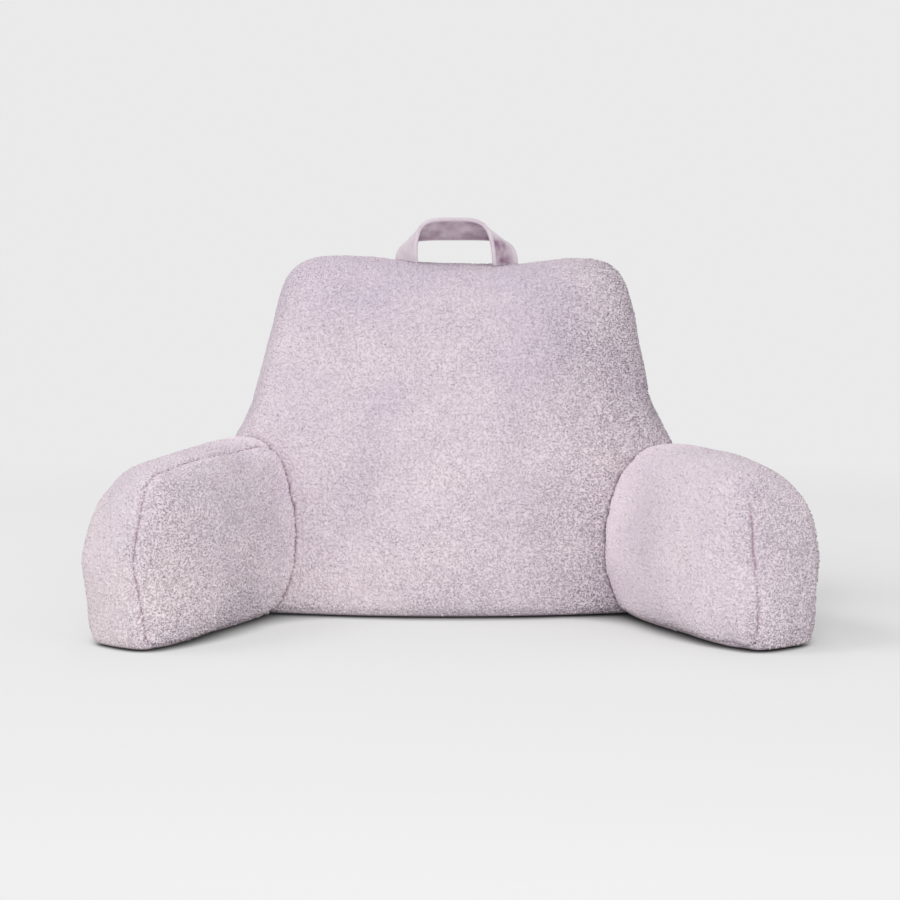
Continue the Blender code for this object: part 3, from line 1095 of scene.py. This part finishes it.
def floor():
    """A pale floor that fades to paper, with low walls of the same far away; shade is painted round
    what touches it, and its own light is least where the shadow at +X falls.
    """
    reach = FLOOR_REACH
    corners = [(-reach, -reach), (reach, -reach), (reach, reach), (-reach, reach)]
    points = [(*corner, 0) for corner in corners] + [(*corner, WALL_HEIGHT) for corner in corners]
    faces = [(0, 1, 2, 3)] + [(i, (i + 1) % 4, (i + 1) % 4 + 4, i + 4) for i in range(4)]
    item = add_object("floor", mesh_from("floor", points, faces))
    finish = Finish("paper")
    finish.shader.inputs["Roughness"].default_value = 0.9
    finish.shader.inputs["Specular IOR Level"].default_value = 0.0
    glow = finish.node("ShaderNodeEmission")
    # painted contact shade, from how much open sky each spot of the floor sees
    contact_shade = finish.node("ShaderNodeAmbientOcclusion", samples=16)
    contact_shade.inputs["Distance"].default_value = TOUCH_REACH
    far = finish.node("ShaderNodeVectorMath", operation="LENGTH")
    finish.link(finish.place, far.inputs[0])
    clear = finish.node("ShaderNodeMath", operation="MAXIMUM")
    finish.link(finish.span(contact_shade.outputs["AO"], *TOUCH_SHARES), clear.inputs[0])
    finish.link(finish.span(far.outputs["Value"], *FAR_SPAN), clear.inputs[1])
    tones = ((PAPER, glow.inputs["Color"]), (FLOOR_TONE, finish.shader.inputs["Base Color"]))
    for tone, socket in tones:
        finish.link(finish.mix(clear.outputs[0], CONTACT_SHADE_TONE, (tone, tone, tone)), socket)
    beside = finish.node("ShaderNodeVectorMath", operation="DISTANCE")
    finish.link(finish.place, beside.inputs[0])
    beside.inputs[1].default_value = SHADOW_MIDDLE
    fade = finish.node("ShaderNodeMath", operation="MAXIMUM")
    finish.link(finish.span(far.outputs["Value"], *FAR_SPAN), fade.inputs[0])
    finish.link(finish.span(beside.outputs["Value"], *SHADOW_SPAN, *FLOOR_GLOW), fade.inputs[1])
    both = finish.node("ShaderNodeMixShader")
    finish.link(fade.outputs[0], both.inputs[0])
    finish.link(finish.shader.outputs[0], both.inputs[1])
    finish.link(glow.outputs[0], both.inputs[2])
    finish.link(both.outputs[0], finish.tree.nodes["Material Output"].inputs["Surface"])
    item.data.materials.append(finish.slot)


LIGHT_AIM = Vector((0, 0, 0.2))
LIGHT_DISTANCE = 3.0
LIGHTS = (
    # name, degrees towards -X from the front, degrees up, size, watts
    ("front", 0, 12, 1.0, 37),
    ("fill", -35, 15, 1.0, 6),
    ("side", 95, 55, 1.0, 20),
    ("rear", 180, 50, 1.0, 7),
    ("top", 0, 88, 1.0, 3),
)


def area_light(name, turn, rise, size, power):
    turn, rise = math.radians(turn), math.radians(rise)
    away = Vector((-math.sin(turn) * math.cos(rise), -math.cos(turn) * math.cos(rise), math.sin(rise)))
    lamp = bpy.data.lights.new(name, "AREA")
    lamp.size = size
    lamp.energy = power
    item = bpy.data.objects.new(name, lamp)
    item.location = LIGHT_AIM + away * LIGHT_DISTANCE
    item.rotation_euler = (-away).to_track_quat("-Z", "Y").to_euler()
    bpy.context.scene.collection.objects.link(item)


def studio():
    world = bpy.data.worlds.new("studio")
    world.use_nodes = True
    world.node_tree.nodes["Background"].inputs["Color"].default_value = (SKY, SKY, SKY, 1)
    bpy.context.scene.world = world
    for lamp in LIGHTS:
        area_light(*lamp)
    bpy.context.scene.view_settings.view_transform = "Standard"


# ---------------------------------------------------------------- making

camera()
floor()
studio()

back, back_seams = back_form()
arms = {
    "left": arm_form("left", -1, LEFT_INNER_SEAM, LEFT_OUTER_SEAM),
    "right": arm_form("right", 1, RIGHT_INNER_SEAM, RIGHT_OUTER_SEAM),
}
ground = skin_finish()
curls = pile_finish()

cushion(back, back_seams, BACK_VOXEL)
for arm, seams in arms.values():
    cushion(arm, seams, ARM_VOXEL)
    trim(arm, back, CUSHION_GAP)
    remesh(arm, ARM_VOXEL)
back_tree = tree_of(back)
arm_trees = []
for place, (arm, seams) in arms.items():
    finish_cushion(arm, seams, [back_tree], ground, SEAM_LOOK[place], arm_open_and_root_shade, 1)
    arm_trees.append(tree_of(arm))
finish_cushion(back, back_seams, arm_trees, ground, SEAM_LOOK["back"], back_open_and_root_shade, 0)
back_tree = tree_of(back)

band, band_size = strap(velour_finish())
trim(band, back, 0.0006)

curl = add_object("curl", curl_mesh())
tree = pile_tree()
sizes = {
    "Curl": curl, "Spacing": CURL_SPACING, "Lean": 0.1, "Smallest": 0.75, "Largest": 1.25,
    "Fleece": curls, "Seed": 3,
}
pieces = []
for seed, where in enumerate(("front", "rear", "strip"), 4):
    item = pile(f"back_pile_{where}", back, tree, {**sizes, "Where": where, "Seed": seed})
    pieces.append((item, "back_fleece"))
for place, (arm, _) in arms.items():
    item = pile(f"arm_{place}_pile", arm, tree, {**sizes, "Where": "all"})
    pieces.append((item, f"arm_{place}_fleece"))
bpy.data.objects.remove(curl)

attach(back, "root")
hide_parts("back")
for place, (arm, _) in arms.items():
    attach(arm, "root")
    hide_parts(f"arm_{place}")
for item, slot in pieces:
    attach(item, "root")
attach(band, "root")
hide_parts("handle")
